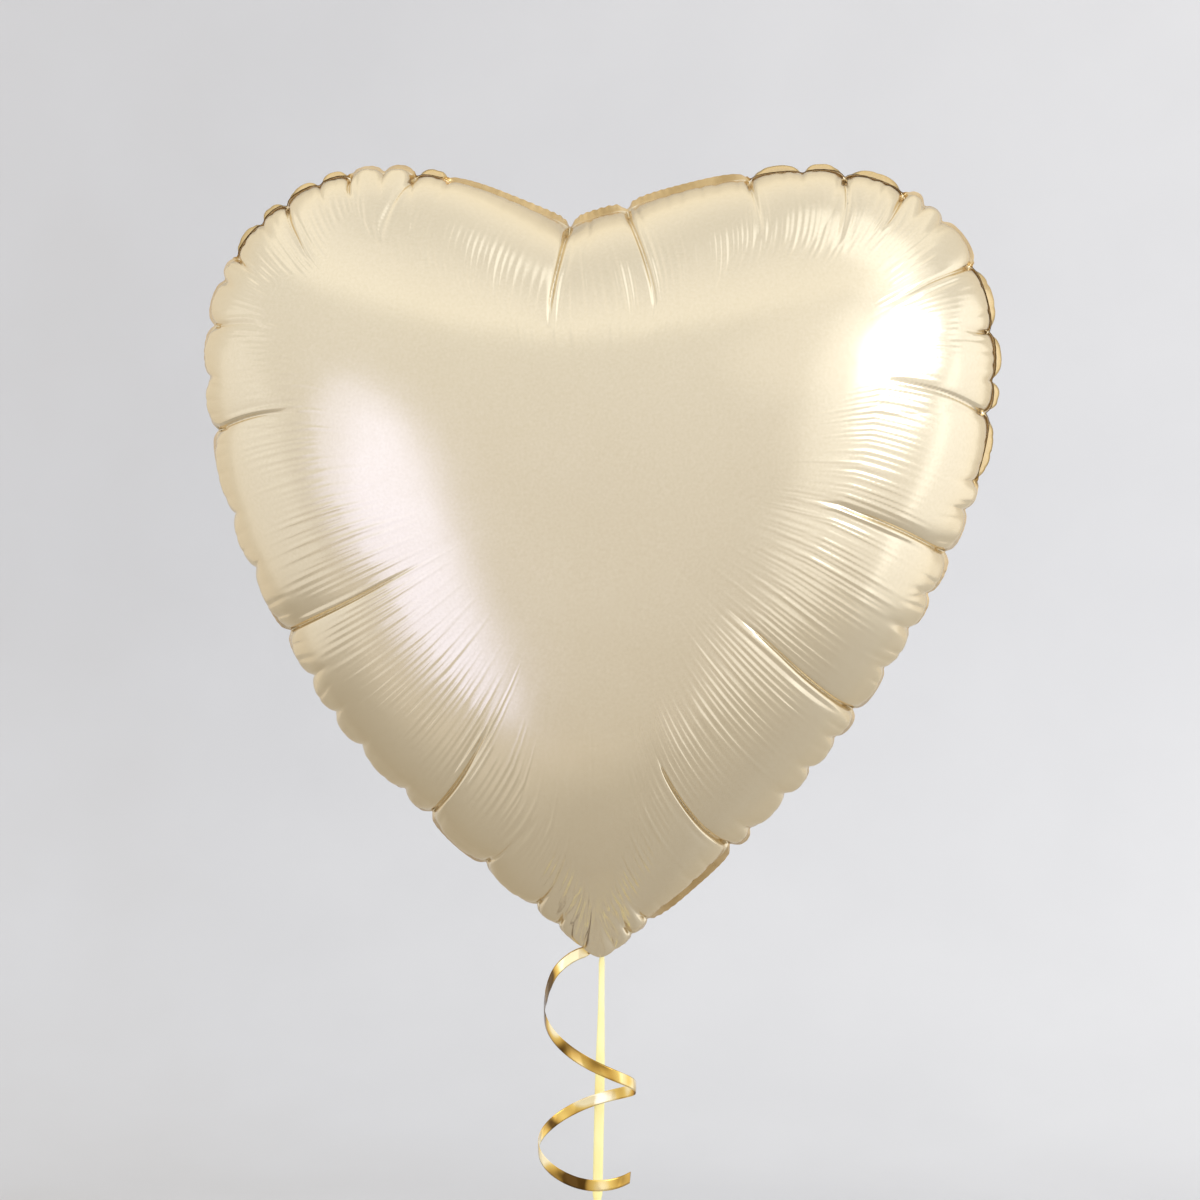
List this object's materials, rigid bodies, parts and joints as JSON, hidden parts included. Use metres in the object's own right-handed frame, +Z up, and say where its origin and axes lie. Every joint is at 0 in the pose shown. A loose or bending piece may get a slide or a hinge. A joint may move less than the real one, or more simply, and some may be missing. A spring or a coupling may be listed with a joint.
{
  "type": "heart-shaped foil balloon",
  "caption": "Inflated satin foil heart balloon with a tied neck, a straight tether ribbon with a hand loop and a curled ribbon.",
  "frame": {"origin": "root of the neck, at the bottom tip of the heart, in the plane of the seam", "axes": "+Z up through the cleft, the front panel faces -Y, +X to the right seen from the front"},
  "size_m": [0.35, 0.1652, 0.5096],
  "materials": {
    "satin_foil": "satin champagne metallised film",
    "valve_film": "clear polythene film",
    "pale_ribbon": "satin pale yellow ribbon",
    "gold_ribbon": "mirror gold metallised ribbon"
  },
  "bodies": {
    "envelope": {"front_panel": "satin_foil", "back_panel": "satin_foil", "neck_gather": "satin_foil", "valve_front_film": "valve_film", "valve_back_film": "valve_film", "curl_wrap": "gold_ribbon", "tether_wrap": "pale_ribbon"},
    "tail": {"tail_front_film": "satin_foil", "tail_back_film": "satin_foil", "tail_valve_front": "valve_film", "tail_valve_back": "valve_film"},
    "tether_top": {"tether_knot": "pale_ribbon"},
    "tether": {"tether_ribbon": "pale_ribbon", "loop_knot": "pale_ribbon"},
    "loop": {"hand_loop": "pale_ribbon"},
    "curl_top": {"curl_knot": "gold_ribbon"},
    "curl": {"curl_ribbon": "gold_ribbon"}
  },
  "joints": [
    {"name": "tail_fold", "type": "hinge", "parent": "envelope", "child": "tail", "pos_m": [0, 0.022, -0.0045], "axis": [-1, 0, 0], "range_deg": [0, 95]},
    {"name": "tether_pitch", "type": "hinge", "parent": "envelope", "child": "tether_top", "pos_m": [0, 0.016, -0.0102], "axis": [1, 0, 0], "range_deg": [0, 25]},
    {"name": "tether_swing", "type": "hinge", "parent": "tether_top", "child": "tether", "pos_m": [0, 0.016, -0.0102], "axis": [0, 1, 0], "range_deg": [-35, 35]},
    {"name": "loop_swing", "type": "hinge", "parent": "tether", "child": "loop", "pos_m": [-0.002, 0.016, -0.1285], "axis": [0, 1, 0], "range_deg": [-40, 40]},
    {"name": "curl_pitch", "type": "hinge", "parent": "envelope", "child": "curl_top", "pos_m": [-0.0022, 0.01, -0.0102], "axis": [-1, 0, 0], "range_deg": [0, 30]},
    {"name": "curl_swing", "type": "hinge", "parent": "curl_top", "child": "curl", "pos_m": [-0.0022, 0.01, -0.0102], "axis": [0, 1, 0], "range_deg": [-35, 35]}
  ]
}
